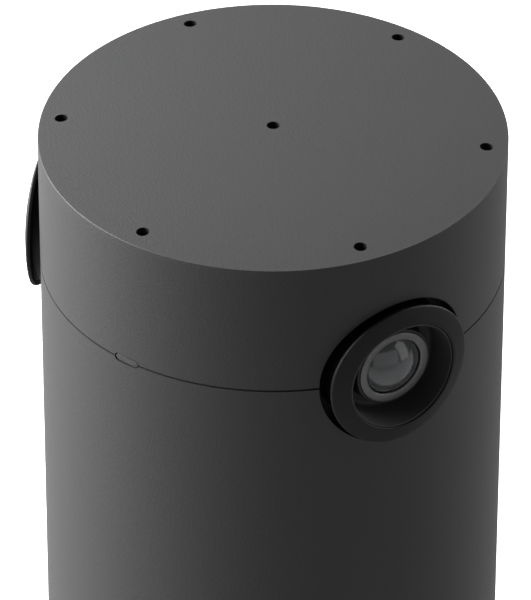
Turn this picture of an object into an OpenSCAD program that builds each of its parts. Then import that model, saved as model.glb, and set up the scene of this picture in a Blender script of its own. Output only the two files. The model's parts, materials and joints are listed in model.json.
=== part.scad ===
// Table-top conference camera: an upright round tower with two fixed wide-angle
// cameras set across the seam of its housing and seven microphones under its lid.
// Millimetres, +Z up. The origin is the middle of the foot, on the table.
// The status light faces -Y, the cable bay faces +Y.

/* [Body] */
// Radius of the housing
body_r = 43; // [42:0.5:46]
// Height from the table to the rim of the lid
rim_z = 256.1; // [250:1:300]
// How much the lid's middle stands above its rim
lid_crown = 1.9; // [0.5:0.1:2]
// Wall of both housings
wall = 2.4; // [2:0.1:2.6]
// Depth of the seam below the rim
seam_drop = 26.5; // [26:0.5:30]
// Height of the dark line at the seam
seam_gap = 0.4; // [0.3:0.1:0.8]
// Radius of the rim's rounded edge
rim_round = 0.25; // [0.2:0.05:1]

/* [Cameras] */
// Angle from the status light to each camera
camera_angle = 69.6; // [66:0.2:74]
// Radius of the bezel
bezel_r = 14.3; // [14:0.1:14.6]
// Radius of the bezel's opening
opening_r = 10.8; // [10.6:0.1:11]
// Distance of the front of the bezel's opening from the tower's axis
bezel_front = 45.4; // [45:0.1:46]
// Thickness of the bezel's rim
bezel_t = 0.8; // [0.6:0.1:1]
// How far the bezel's front falls from its opening to its rim
bezel_slope = 0.75; // [0.4:0.05:1]
// Radius of the bend that drops the bezel's sides towards the housing
bezel_bend_r = 56; // [50:1:90]
// Radius of the lens barrel
barrel_r = 7.8; // [7.6:0.1:7.9]
// Radius of the front glass
glass_r = 5.5; // [5.3:0.05:5.6]

/* [Microphones] */
// Radius of the ring of microphones
mic_ring_r = 39.05; // [38:0.1:39.1]
// Radius of a sound hole
mic_hole_r = 1.2; // [0.8:0.1:1.2]
// Turn of the ring of microphones from the status light
mic_turn = 1.4; // [-3:0.1:3]

/* [Light] */
// Width of the status light
light_w = 5; // [4:0.5:7]
// Height of the status light
light_h = 1.3; // [1.2:0.1:2.2]

/* [Base] */
// Height of the rubber foot
foot_h = 4; // [3:0.5:4]
// Radius inside the tripod insert
tripod_r = 2.6; // [2.5:0.1:2.7]

/* [Cable bay] */
// Width of the bay's window
bay_w = 52; // [50:1:52]
// Bottom of the bay's window
bay_z = 15; // [15:0.5:15]
// Height of the bay's window
bay_h = 26; // [26:1:30]

/* [Hidden] */
$fn = 96;
eps = 0.01;
slip = 0.05;                       // gap round a shank or a seated round piece
inner_r = body_r - wall;
seam_z = rim_z - seam_drop;
lid_under_z = rim_z - 2.6;         // underside of the lid
lid_sphere_r = (body_r * body_r + lid_crown * lid_crown) / (2 * lid_crown);
tongue_r = body_r - 1.3;           // outside of the lower housing's tongue
tongue_top = seam_z + 2.1;
rabbet_top = tongue_top + 0.4;
housing_z = foot_h + 2;            // bottom edge of the lower housing
plate_top = foot_h + 6;
port_hole_r = bezel_r + 0.7;       // the housings' hole round a bezel
mic_board_z = lid_under_z - 2.7;
mic_board_t = 1.6;
gasket_t = 1;
board_t = 1.6;
carrier_z = seam_z - 20.1;
carrier_t = 3;
core_z = 46;
frame_t = 4;                       // plate and flanges of the core frame
main_y = 4;                        // front face of the main board
tray_back_y = 26;
tray_wall = 1.6;
tray_gap = 0.2;
io_z = 18;                         // underside of the port board
port_y = 28.4;                     // where the ports' faces stand
ethernet_x = -15.5;
usb_x = [-0.6, 13.2];
usb_z = io_z + board_t + 0.1 + 1.65;
button_z = io_z + 14;
reset_x = 6.2;
pair_x = 20.2;
flex_t = 0.3;
light_gap = 0.25;
boss_angles = [8, 172, -60, -120]; // the lower housing's screw bosses
boss_ring_r = 36.4;
lid_boss_angles = [20, 90, 160, 270];
lid_boss_ring_r = 31;
core_posts = [[-24, -16], [24, -16], [-24, 4], [24, 4]];
io_posts = [[-20, 12], [20, 12]];

// ---------- places ----------

// A camera's own frame: +Z runs out along its axis from the tower's axis.
// side is 1 for the camera on the +X side and -1 for the one on the -X side.
module at_camera(side) {
  rotate([0, 0, -90 + side * camera_angle])
    translate([0, 0, seam_z])
      rotate([0, 90, 0])
        children();
}

module both_cameras() {
  for (side = [-1, 1]) at_camera(side) children();
}

module round_places(angles, radius) {
  for (a = angles) rotate([0, 0, a]) translate([radius, 0, 0]) children();
}

// Six microphones on a ring, one of them nearly over the status light, and one in the middle.
module mic_places() {
  round_places([for (i = [0:5]) -90 + mic_turn + 60 * i], mic_ring_r) children();
  children();
}

module sensor_screw_places() {
  for (x = [-11.2, 11.2], y = [-11.2, 11.2]) translate([x, y, 0]) children();
}

// ---------- shapes that repeat ----------

module tube(outer, inner, height) {
  difference() {
    cylinder(r = outer, h = height);
    translate([0, 0, -1]) cylinder(r = inner, h = height + 2);
  }
}

module stadium(width, height, depth) {
  linear_extrude(depth) union() {
    square([width - height, height], center = true);
    for (x = [-1, 1]) translate([x * (width - height) / 2, 0]) circle(d = height);
  }
}

// A pan-head screw whose shank runs up from z = 0 and whose head hangs below.
module screw(shank_r, length, head_r, head_h) {
  cylinder(r = shank_r, h = length);
  translate([0, 0, -head_h]) difference() {
    cylinder(r = head_r, h = head_h);
    translate([0, 0, -eps]) cylinder(r = head_r * 0.5, h = head_h * 0.55, $fn = 6);
  }
}

module bezel_holes() {
  both_cameras() cylinder(r = port_hole_r, h = body_r + 10);
}

// The slot for the status light, through the wall on the -Y side.
module light_slot(gap) {
  translate([0, -body_r + 6, seam_z]) rotate([90, 0, 0])
    stadium(light_w + 2 * gap, light_h + 2 * gap, 10);
}

module bay_block(y_from, y_to, gap) {
  translate([-bay_w / 2 + gap, y_from, bay_z + gap])
    cube([bay_w - 2 * gap, y_to - y_from, bay_h - 2 * gap]);
}

// ---------- housings ----------

module upper_housing() {
  color([0.2, 0.2, 0.21]) difference() {
    union() {
      rotate_extrude() difference() {
        intersection() {
          translate([0, seam_z + seam_gap / 2])
            square([body_r, seam_drop + lid_crown]);
          translate([0, rim_z + lid_crown - lid_sphere_r]) circle(r = lid_sphere_r, $fn = 720);
        }
        // outer rounded edge
        translate([body_r - rim_round, rim_z - rim_round]) difference() {
          square(rim_round + 1);
          circle(r = rim_round);
        }
        // hollow
        translate([-1, seam_z]) square([inner_r + 1, lid_under_z - seam_z]);
        translate([-1, seam_z]) square([tongue_r + 0.2 + 1, rabbet_top - seam_z]);
      }
      round_places(lid_boss_angles, lid_boss_ring_r)
        translate([0, 0, mic_board_z + mic_board_t]) cylinder(r = 2.6, h = 2);
    }
    mic_places() translate([0, 0, lid_under_z - 1]) cylinder(r = mic_hole_r, h = 10);
    round_places(lid_boss_angles, lid_boss_ring_r)
      translate([0, 0, mic_board_z]) cylinder(r = 0.95 + slip, h = 4);
    bezel_holes();
    light_slot(light_gap);
  }
}

module lower_housing() {
  color([0.2, 0.2, 0.21]) difference() {
    union() {
      translate([0, 0, housing_z])
        tube(body_r, inner_r, seam_z - seam_gap / 2 - housing_z);
      translate([0, 0, seam_z - 3]) tube(tongue_r, inner_r, tongue_top - seam_z + 3);
      // screw bosses joined to the wall
      intersection() {
        round_places(boss_angles, boss_ring_r) translate([-3.6, -3.6, plate_top + slip])
          cube([9, 7.2, 18]);
        cylinder(r = inner_r + 1, h = 100);
      }
    }
    round_places(boss_angles, boss_ring_r) cylinder(r = 1.5 + slip, h = plate_top + 14);
    bezel_holes();
    light_slot(light_gap);
    bay_block(28, body_r + 5, 0);
  }
}

module seam_gasket() {
  thickness = seam_gap - 0.04;
  color([0.05, 0.05, 0.05]) difference() {
    translate([0, 0, seam_z - thickness / 2]) tube(body_r - 0.15, tongue_r + slip, thickness);
    bezel_holes();
    light_slot(light_gap);
  }
}

// A bar flush with the wall, with a flange behind the wall to hold it.
module light_pipe() {
  back_y = -37.8;                  // just off the light's face
  color([0.75, 0.75, 0.72]) intersection() {
    union() {
      translate([0, back_y, seam_z]) rotate([90, 0, 0]) stadium(light_w, light_h, 8);
      translate([-3.9, -inner_r + 0.4, seam_z - 2]) cube([7.8, 1.2, 4]);
    }
    cylinder(r = body_r - 0.15, h = rim_z);
  }
}

// ---------- cable bay ----------

module io_tray() {
  color([0.06, 0.06, 0.06]) difference() {
    union() {
      intersection() {
        bay_block(tray_back_y, body_r, tray_gap);
        cylinder(r = body_r - 0.4, h = 80);
      }
      // flange behind the housing's wall
      intersection() {
        bay_block(tray_back_y, tray_back_y + 3, -2);
        cylinder(r = inner_r - 0.3, h = 80);
      }
    }
    bay_block(tray_back_y + tray_wall, body_r, tray_gap + tray_wall - 0.4);
    translate([ethernet_x - 8.2, tray_back_y - 1, io_z + board_t - 0.2]) cube([16.4, 4, 14]);
    for (x = usb_x) translate([x, tray_back_y + 3, usb_z]) rotate([90, 0, 0])
      stadium(9.4, 3.7, 6);
    for (x = [reset_x, pair_x]) translate([x, tray_back_y - 1, button_z]) rotate([-90, 0, 0])
      cylinder(r = 2.7, h = 4);
  }
}

module io_board() {
  color([0.05, 0.25, 0.12]) translate([-24, 9, io_z]) cube([48, 16.8, board_t]);
}

module ethernet_port() {
  z0 = io_z + board_t;
  color([0.65, 0.66, 0.68]) difference() {
    translate([ethernet_x - 8, port_y - 15.5, z0]) cube([16, 15.5, 13.6]);
    translate([ethernet_x - 5.9, port_y - 11, z0 + 2.4]) cube([11.8, 12, 8.2]);
    translate([ethernet_x - 3, port_y - 11, z0 + 1]) cube([6, 12, 3]);
  }
}

module usb_ports() {
  color([0.7, 0.71, 0.73]) for (x = usb_x) {
    difference() {
      translate([x, port_y - 0.2, usb_z]) rotate([90, 0, 0]) stadium(9, 3.3, 8);
      translate([x, port_y + 1, usb_z]) rotate([90, 0, 0]) stadium(8.4, 2.7, 8.2);
    }
    translate([x - 3.3, port_y - 7.3, usb_z - 0.35]) cube([6.6, 6.3, 0.7]);
  }
}

module push_button(x) {
  travel_side = 24.6;              // the flange's back, 0.8 mm of travel off the switch
  color([0.09, 0.09, 0.09]) translate([x, travel_side, button_z]) rotate([-90, 0, 0]) union() {
    cylinder(r = 3, h = 1.2);
    cylinder(r = 2.4, h = 4);
  }
}

module button_switches() {
  color([0.1, 0.1, 0.1]) for (x = [reset_x, pair_x]) {
    translate([x - 2, 18.6, io_z + board_t]) cube([4, 4.2, button_z + 3 - io_z - board_t]);
    translate([x, 22.8 - eps, button_z]) rotate([-90, 0, 0]) cylinder(r = 1.2, h = 0.9);
  }
}

// ---------- base ----------

module base_plate() {
  color([0.5, 0.51, 0.53]) difference() {
    union() {
      translate([0, 0, foot_h]) cylinder(r = body_r - 1.8, h = housing_z - foot_h);
      translate([0, 0, foot_h]) cylinder(r = inner_r - 0.2, h = plate_top - foot_h);
      for (p = core_posts) translate([p[0], p[1], foot_h + 1]) cylinder(r = 4, h = core_z - foot_h - 1);
      for (p = io_posts) translate([p[0], p[1], foot_h + 1]) cylinder(r = 2.5, h = io_z - foot_h - 1);
    }
    translate([0, 0, foot_h - 1]) cylinder(r = 5 + slip, h = 10);
    round_places(boss_angles, boss_ring_r) translate([0, 0, foot_h - 1]) {
      cylinder(r = 1.5 + slip, h = 10);
      cylinder(r = 3.1, h = 3.6);
    }
    for (p = core_posts) translate([p[0], p[1], core_z - 12]) cylinder(r = 1.5 + slip, h = 14);
  }
}

module foot_ring() {
  color([0.04, 0.04, 0.04]) rotate_extrude() union() {
    translate([29, 0.5]) square([11.5, foot_h - 0.5]);
    translate([29.5, 0]) square([10.5, 1]);
  }
}

module tripod_insert() {
  color([0.75, 0.6, 0.3]) translate([0, 0, foot_h]) tube(5, tripod_r, 8);
}

module ballast_plate() {
  color([0.45, 0.46, 0.48]) difference() {
    translate([0, 0, plate_top]) cylinder(r = 32, h = 4.8);
    translate([0, 0, plate_top - 1]) cylinder(r = 6, h = 8);
    translate([-30, tray_back_y - 0.6, plate_top - 1]) cube([60, 20, 8]);
    for (p = core_posts) translate([p[0], p[1], plate_top - 1]) cylinder(r = 4.4, h = 8);
    for (p = io_posts) translate([p[0], p[1], plate_top - 1]) cylinder(r = 3, h = 8);
  }
}

module base_screws() {
  color([0.6, 0.6, 0.62]) round_places(boss_angles, boss_ring_r)
    translate([0, 0, foot_h + 2.6]) screw(1.5, 14, 2.8, 2.2);
}

// ---------- microphones ----------

module mic_gasket() {
  color([0.07, 0.07, 0.07]) difference() {
    translate([0, 0, mic_board_z + mic_board_t]) cylinder(r = inner_r - 0.15, h = gasket_t);
    mic_places() translate([0, 0, mic_board_z]) cylinder(r = 0.8, h = 8);
    mic_places() translate([0, 0, mic_board_z + mic_board_t + gasket_t - 0.3])
      cylinder(r = 1.3, h = 2);
    round_places(lid_boss_angles, lid_boss_ring_r)
      translate([0, 0, mic_board_z]) cylinder(r = 2.8, h = 8);
  }
}

module mic_mesh() {
  color([0.02, 0.02, 0.02]) mic_places()
    translate([0, 0, mic_board_z + mic_board_t + gasket_t - 0.28]) cylinder(r = 1.25, h = 0.25);
}

module mic_board() {
  color([0.05, 0.25, 0.12]) difference() {
    translate([0, 0, mic_board_z]) cylinder(r = inner_r - 0.25, h = mic_board_t);
    mic_places() translate([0, 0, mic_board_z - 1]) cylinder(r = 0.5, h = 4);
    round_places(lid_boss_angles, lid_boss_ring_r)
      translate([0, 0, mic_board_z - 1]) cylinder(r = 0.95 + slip, h = 4);
  }
}

module mic_capsules() {
  color([0.72, 0.6, 0.35]) mic_places()
    translate([-1.3, -1.75, mic_board_z - 1]) cube([2.6, 3.5, 1]);
}

module mic_screws() {
  color([0.6, 0.6, 0.62]) round_places(lid_boss_angles, lid_boss_ring_r)
    translate([0, 0, mic_board_z]) screw(0.95, 3.6, 2, 1.2);
}

module mic_flex() {
  color([0.7, 0.45, 0.15]) union() {
    translate([-4, 12, 200]) cube([8, flex_t, mic_board_z - 200 - slip]);
    translate([-4, 8.7, 200]) cube([8, 3.5, flex_t]);
    translate([-4, 8.7, 197]) cube([8, flex_t, 3.2]);
  }
}

// ---------- status light ----------

module led_board() {
  color([0.05, 0.25, 0.12]) translate([-6, -36.4, seam_z - 4]) cube([12, 1, 8]);
}

module status_led() {
  color([0.9, 0.9, 0.85]) translate([-1.5, -37.6, seam_z - 0.7]) cube([3, 1.2, 1.4]);
}

// ---------- core ----------

module core_frame() {
  fin_t = 1.6;
  fin_pitch = 6.6;
  color([0.62, 0.63, 0.65]) difference() {
    union() {
      translate([-30, -3, core_z]) cube([60, frame_t, carrier_z - core_z]);
      translate([-30, -21, core_z]) cube([60, 30, frame_t]);
      translate([-30, -21, carrier_z - frame_t]) cube([60, 25, frame_t]);
      for (i = [-4:4]) translate([i * fin_pitch - fin_t / 2, -21, core_z + 6])
        cube([fin_t, 19, carrier_z - core_z - 16]);
      for (x = [-24, 24], z = [60, 125, 190])
        translate([x, 0.5, z]) rotate([-90, 0, 0]) cylinder(r = 2.6, h = main_y - 0.5);
    }
    for (p = core_posts) translate([p[0], p[1], core_z - 1]) cylinder(r = 1.5 + slip, h = 10);
    for (x = [-24, 24]) translate([x, -16, carrier_z - 10]) cylinder(r = 1.5 + slip, h = 20);
    for (x = [-24, 24], z = [60, 125, 190])
      translate([x, -2, z]) rotate([-90, 0, 0]) cylinder(r = 1 + slip, h = 8);
  }
}

module main_board() {
  color([0.05, 0.25, 0.12]) difference() {
    translate([-28, main_y, 54]) cube([56, board_t, 148]);
    for (x = [-24, 24], z = [60, 125, 190])
      translate([x, main_y - 1, z]) rotate([-90, 0, 0]) cylinder(r = 1 + slip, h = 4);
  }
}

module processor() {
  color([0.1, 0.1, 0.1]) translate([-11.5, main_y - board_t, 140]) cube([23, board_t, 23]);
}

module thermal_pad() {
  color([0.5, 0.55, 0.6]) translate([-11, 1, 140.5]) cube([22, main_y - board_t - 1, 22]);
}

module memory_chips() {
  color([0.1, 0.1, 0.1]) for (x = [-16, 4], z = [136, 154])
    translate([x, main_y + board_t, z]) cube([12, 1, 9]);
}

module shield_can() {
  color([0.7, 0.7, 0.72]) difference() {
    translate([-20, main_y + board_t, 70]) cube([40, 3.2, 48]);
    translate([-19.6, main_y + board_t - 1, 70.4]) cube([39.2, 3.8, 47.2]);
  }
}

module board_sockets() {
  color([0.85, 0.82, 0.75]) for (x = [-13, 0, 13])
    translate([x - 4.5, main_y + board_t, 194]) cube([9, 3, 5]);
}

module core_screws() {
  color([0.6, 0.6, 0.62]) {
    for (p = core_posts) translate([p[0], p[1], core_z + frame_t])
      rotate([180, 0, 0]) screw(1.5, 13, 2.7, 2);
    for (x = [-24, 24], z = [60, 125, 190])
      translate([x, main_y + board_t, z]) rotate([90, 0, 0]) screw(1, 6, 1.9, 1.3);
    for (x = [-24, 24]) translate([x, -16, carrier_z + carrier_t])
      rotate([180, 0, 0]) screw(1.5, 6.4, 2.7, 2);
  }
}

// ---------- cameras ----------

// Plate with two uprights that the cameras' boards are screwed to, and a post for the light.
module camera_carrier() {
  upright_s = 18.6;
  color([0.55, 0.56, 0.58]) difference() {
    union() {
      translate([0, 0, carrier_z]) cylinder(r = 38, h = carrier_t);
      both_cameras() {
        translate([-13.2, -13.2, upright_s]) cube([seam_z - carrier_z + 13.2 - 1, 26.4, 2]);
        sensor_screw_places() translate([0, 0, upright_s + 1]) cylinder(r = 1.9, h = 2);
      }
      translate([-5, -35.4, carrier_z + 1]) cube([10, 3, seam_z + 3 - carrier_z]);
    }
    both_cameras() {
      sensor_screw_places() translate([0, 0, upright_s - 1]) cylinder(r = 1 + slip, h = 5);
      translate([-6, -6, upright_s - 1]) cube([12, 12, 4]);
      translate([seam_z - carrier_z - carrier_t - 4, -8, upright_s - 1]) cube([4, 16, 4]);
    }
    for (x = [-13, 13]) translate([x - 5, 7.5, carrier_z - 1]) cube([10, 3, 6]);
    translate([-5, 10.6, carrier_z - 1]) cube([10, 3, 6]);
    for (x = [-24, 24]) translate([x, -16, carrier_z - 1]) cylinder(r = 1.5 + slip, h = 6);
  }
}

// All that lies a depth or more behind the bezels' bent front, in a camera's own frame.
module behind_front(depth) {
  translate([0, 0, bezel_front - depth - bezel_bend_r])
    rotate([0, 90, 0]) cylinder(r = bezel_bend_r, h = 60, center = true);
}

// A sloping, bent plate on a narrower neck: the gap under its rim shows dark.
module bezel() {
  flange_s = 35.2;
  flange_t = 1.4;
  neck_r = bezel_r - 1.4;
  rim_s = bezel_front - bezel_slope;
  color([0.05, 0.05, 0.055]) difference() {
    union() {
      translate([0, 0, flange_s]) cylinder(r = bezel_r + 2.2, h = flange_t);
      intersection() {
        translate([0, 0, flange_s]) cylinder(r = neck_r, h = 12);
        behind_front(bezel_t);
      }
      intersection() {
        union() {
          cylinder(r = bezel_r, h = rim_s);
          translate([0, 0, rim_s]) cylinder(r1 = bezel_r, r2 = opening_r, h = bezel_slope);
        }
        difference() {
          behind_front(0);
          behind_front(bezel_t + bezel_slope);
        }
      }
    }
    cylinder(r = opening_r, h = 50);
    intersection() {
      cylinder(r = opening_r + 0.8, h = 50);
      behind_front(bezel_t + bezel_slope);
    }
  }
}

// The recess round the lens: its lip rises inside the bezel's opening.
module shroud() {
  floor_s = 37;
  floor_t = 1.2;
  color([0.05, 0.05, 0.05]) difference() {
    union() {
      intersection() {
        translate([0, 0, floor_s]) cylinder(r = opening_r + 0.7, h = 12);
        behind_front(bezel_t + bezel_slope + 0.1);
      }
      intersection() {
        translate([0, 0, floor_s]) cylinder(r = opening_r - 0.1, h = 12);
        behind_front(0.3);
      }
    }
    translate([0, 0, floor_s - 1]) cylinder(r = barrel_r + 0.3, h = 12);
    translate([0, 0, floor_s + floor_t])
      cylinder(r1 = opening_r - 0.7, r2 = opening_r - 0.3, h = bezel_front - floor_s - floor_t);
  }
}

module lens_barrel() {
  back = 27;
  front = 41.7;
  color([0.04, 0.04, 0.045]) difference() {
    translate([0, 0, back]) cylinder(r = barrel_r, h = front - back);
    translate([0, 0, front - 0.7]) cylinder(r = barrel_r - 0.5, h = 2);
    translate([0, 0, 38.1]) cylinder(r = glass_r + slip, h = 10);
    translate([0, 0, 33]) cylinder(r = 4, h = 10);
    translate([0, 0, back - 1]) cylinder(r = 5, h = 7);
  }
}

module retaining_ring() {
  color([0.5, 0.5, 0.5]) translate([0, 0, 41])
    tube(barrel_r - 0.5 - slip, glass_r + 0.15, 0.9);
}

module front_element() {
  apex = 43.8;
  dome_h = 2.4;
  dome_r = (glass_r * glass_r + dome_h * dome_h) / (2 * dome_h);
  color([0.7, 0.8, 0.85, 0.4]) difference() {
    intersection() {
      translate([0, 0, 38.2]) cylinder(r = glass_r, h = 8);
      translate([0, 0, apex - dome_r]) sphere(r = dome_r);
    }
    translate([0, 0, 36.5]) sphere(r = 4.4);
  }
}

module inner_element() {
  color([0.25, 0.3, 0.4, 0.6]) intersection() {
    translate([0, 0, 35]) cylinder(r = 3.95, h = 3);
    translate([0, 0, 29.6]) sphere(r = 8);
  }
}

module lens_holder() {
  color([0.12, 0.12, 0.13]) difference() {
    translate([-8.8, -8.8, 22.8]) cube([17.6, 17.6, 12]);
    translate([0, 0, 25.6]) cylinder(r = barrel_r + 0.07, h = 12);
    translate([-6.6, -6.6, 22]) cube([13.2, 13.2, 4]);
  }
}

module sensor_board() {
  color([0.05, 0.25, 0.12]) difference() {
    translate([-13.2, -13.2, 21.6]) cube([26.4, 26.4, 1.2]);
    sensor_screw_places() translate([0, 0, 21]) cylinder(r = 1 + slip, h = 3);
  }
}

// The packaged sensor with its filter glass above it.
module image_sensor() {
  color([0.15, 0.2, 0.3]) {
    translate([-5, -6, 22.8]) cube([10, 12, 1.6]);
    translate([-4.5, -5.5, 24.5]) cube([9, 11, 0.5]);
  }
}

module camera_screws() {
  color([0.6, 0.6, 0.62]) both_cameras() sensor_screw_places()
    translate([0, 0, 22.8]) rotate([180, 0, 0]) screw(1, 3.8, 1.5, 1.1);
}

// Ribbon from a camera's board, under the upright, to the main board's socket.
module camera_flex(side) {
  drop_x = side * 13;
  run_z = carrier_z + carrier_t + 0.6;
  foot_s = 21.25;
  angle = -90 + side * camera_angle;
  function place(s, t) = [s * cos(angle) - t * sin(angle), s * sin(angle) + t * cos(angle)];
  color([0.7, 0.45, 0.15]) union() {
    at_camera(side) translate([8, -3.6, foot_s - flex_t / 2])
      cube([seam_z - run_z - flex_t / 2 - 8, 7.2, flex_t]);
    translate([0, 0, run_z]) linear_extrude(flex_t) polygon([
      place(foot_s, 4), [drop_x + 4, 9], [drop_x - 4, 9], place(foot_s, -4)
    ]);
    translate([drop_x - 3.6, 8.6, 195]) cube([7.2, flex_t, run_z + flex_t / 2 - 195]);
  }
}

upper_housing();
lower_housing();
seam_gasket();
light_pipe();
base_plate();
foot_ring();
tripod_insert();
ballast_plate();
base_screws();
mic_gasket();
mic_mesh();
mic_board();
mic_capsules();
mic_screws();
mic_flex();
led_board();
status_led();
io_tray();
io_board();
ethernet_port();
usb_ports();
push_button(reset_x);  // reset_button
push_button(pair_x);  // pair_button
button_switches();
core_frame();
main_board();
processor();
memory_chips();
shield_can();
thermal_pad();
board_sockets();
core_screws();
camera_carrier();
camera_screws();
at_camera(1) bezel();  // right_bezel
at_camera(1) shroud();  // right_shroud
at_camera(1) lens_barrel();  // right_lens_barrel
at_camera(1) retaining_ring();  // right_retaining_ring
at_camera(1) front_element();  // right_front_element
at_camera(1) inner_element();  // right_inner_element
at_camera(1) lens_holder();  // right_lens_holder
at_camera(1) sensor_board();  // right_sensor_board
at_camera(1) image_sensor();  // right_image_sensor
camera_flex(1);  // right_flex
at_camera(-1) bezel();  // left_bezel
at_camera(-1) shroud();  // left_shroud
at_camera(-1) lens_barrel();  // left_lens_barrel
at_camera(-1) retaining_ring();  // left_retaining_ring
at_camera(-1) front_element();  // left_front_element
at_camera(-1) inner_element();  // left_inner_element
at_camera(-1) lens_holder();  // left_lens_holder
at_camera(-1) sensor_board();  // left_sensor_board
at_camera(-1) image_sensor();  // left_image_sensor
camera_flex(-1);  // left_flex
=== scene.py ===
"""Looks for a round table-top conference camera: housings, bezels, lenses, light, foot, cable bay.

Lengths in the tables below are millimetres; every piece is made in metres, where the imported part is.
"""

import json
import math

import bpy
from mathutils import Matrix, Vector


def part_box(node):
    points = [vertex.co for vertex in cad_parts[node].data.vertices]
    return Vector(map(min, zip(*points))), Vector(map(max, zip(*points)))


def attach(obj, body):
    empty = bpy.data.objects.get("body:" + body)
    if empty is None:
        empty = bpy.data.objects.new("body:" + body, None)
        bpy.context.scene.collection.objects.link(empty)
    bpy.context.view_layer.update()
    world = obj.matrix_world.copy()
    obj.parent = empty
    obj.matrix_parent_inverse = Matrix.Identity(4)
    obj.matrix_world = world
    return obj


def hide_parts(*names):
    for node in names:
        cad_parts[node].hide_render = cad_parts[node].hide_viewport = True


MM = 0.001

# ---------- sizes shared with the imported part, millimetres ----------
BODY_R = 43.0
INNER_R = 40.6
RIM_Z = 256.1
CROWN = 1.9
LID_UNDER_Z = 253.5
SEAM_Z = 229.6
SEAM_GAP = 0.4
TONGUE_R = 41.7
TONGUE_TOP = 231.7
RABBET_R = 41.9
RABBET_TOP = 232.1
HOUSING_Z = 6.0
PORT_R = 15.0
BEZEL_R = 14.3
OPENING_R = 10.8
BEZEL_FRONT = 45.4
BEZEL_T = 0.8
BARREL_R = 7.8
GLASS_R = 5.5
CAMERA_ANGLE = 69.6
MIC_RING_R = 39.05
MIC_HOLE_R = 1.2
MIC_TURN = 1.4
LIGHT_W = 5.0
LIGHT_H = 1.3
BAY_W = 52.0
BAY_Z = 15.0
BAY_H = 26.0
BOSS_ANGLES = (8, 172, -60, -120)
BOSS_RING_R = 36.4
LID_BOSS_ANGLES = (20, 90, 160, 270)
LID_BOSS_RING_R = 31.0
RESET_X = 6.2
PAIR_X = 20.2
BUTTON_Z = 32.0
USB_X = (-0.6, 13.2)
USB_Z = 21.35
USB_W = 9.4
USB_H = 3.7
BUTTON_HOLE_R = 2.7
SIDES = {"right": 1, "left": -1}

# ---------- sizes of the looks only, millimetres ----------
BAY_ROUNDING = 1.6
BEZEL_BEND_R = 84.0
BEND_FROM = 42.0
BEZEL_SLOPE = 0.75
SLOT_CLEARANCE = 0.25
WALL_SIDES = 240


# ---------- camera and studio ----------

VIEW_TURN = math.radians(37.9)
VIEW_HEIGHT = math.radians(34.53)
VIEW_PITCH = math.radians(36.03)
VIEW_YAW = math.radians(-0.08)
VIEW_ROLL = math.radians(0.11)
VIEW_DISTANCE = 26.94 * BODY_R * MM
VIEW_LENS = 380.7
LIGHT_AIM_Z = 0.2


def make_camera():
    data = bpy.data.cameras.new("view_camera")
    data.sensor_width = 36.0
    data.lens = VIEW_LENS
    data.clip_start = 0.05
    data.clip_end = 50.0
    camera = bpy.data.objects.new("view_camera", data)
    bpy.context.scene.collection.objects.link(camera)
    forward = Vector((
        math.sin(VIEW_YAW) * math.cos(VIEW_PITCH),
        math.cos(VIEW_YAW) * math.cos(VIEW_PITCH),
        -math.sin(VIEW_PITCH),
    ))
    right = forward.cross(Vector((0, 0, 1))).normalized()
    up = right.cross(forward)
    rolled_right = math.cos(VIEW_ROLL) * right + math.sin(VIEW_ROLL) * up
    rolled_up = math.cos(VIEW_ROLL) * up - math.sin(VIEW_ROLL) * right
    turn = Matrix.Rotation(VIEW_TURN, 4, "Z")
    aim = Matrix((rolled_right, rolled_up, -forward)).transposed().to_4x4()
    place = Matrix.Translation(
        (0, -VIEW_DISTANCE * math.cos(VIEW_HEIGHT), VIEW_DISTANCE * math.sin(VIEW_HEIGHT))
    )
    camera.matrix_world = Matrix.Translation((0, 0, RIM_Z * MM)) @ turn @ place @ aim
    bpy.context.scene.camera = camera


def softbox(name, turn, height, distance, size, power):
    """An area light aimed at the tower's axis; degrees, metres and watts."""
    data = bpy.data.lights.new(name, "AREA")
    data.shape = "RECTANGLE"
    data.size, data.size_y = size
    data.energy = power
    light = bpy.data.objects.new(name, data)
    bpy.context.scene.collection.objects.link(light)
    a = math.radians(turn)
    e = math.radians(height)
    away = Vector((math.sin(a) * math.cos(e), -math.cos(a) * math.cos(e), math.sin(e)))
    light.location = Vector((0, 0, LIGHT_AIM_Z)) + away * distance
    light.rotation_euler = away.to_track_quat("Z", "Y").to_euler()
    return light


def make_studio():
    scene = bpy.context.scene
    scene.view_settings.view_transform = "Standard"
    world = bpy.data.worlds.new("studio")
    world.use_nodes = True
    world.node_tree.nodes["Background"].inputs["Color"].default_value = (1, 1, 1, 1)
    world.node_tree.nodes["Background"].inputs["Strength"].default_value = 0.04
    scene.world = world
    softbox("key_softbox", -62, 22, 1.6, (1.3, 1.5), 97)
    softbox("side_softbox", -100, 25, 1.6, (1.0, 1.5), 18)
    softbox("back_softbox", -140, 35, 1.6, (1.3, 1.0), 3.4)
    softbox("edge_softbox", 115, 15, 1.6, (0.8, 1.3), 2)
    softbox("rim_softbox", 156, 20, 1.6, (0.9, 1.3), 13)
    softbox("front_card", 60, 12, 1.6, (2.2, 1.2), 2.4)


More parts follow.
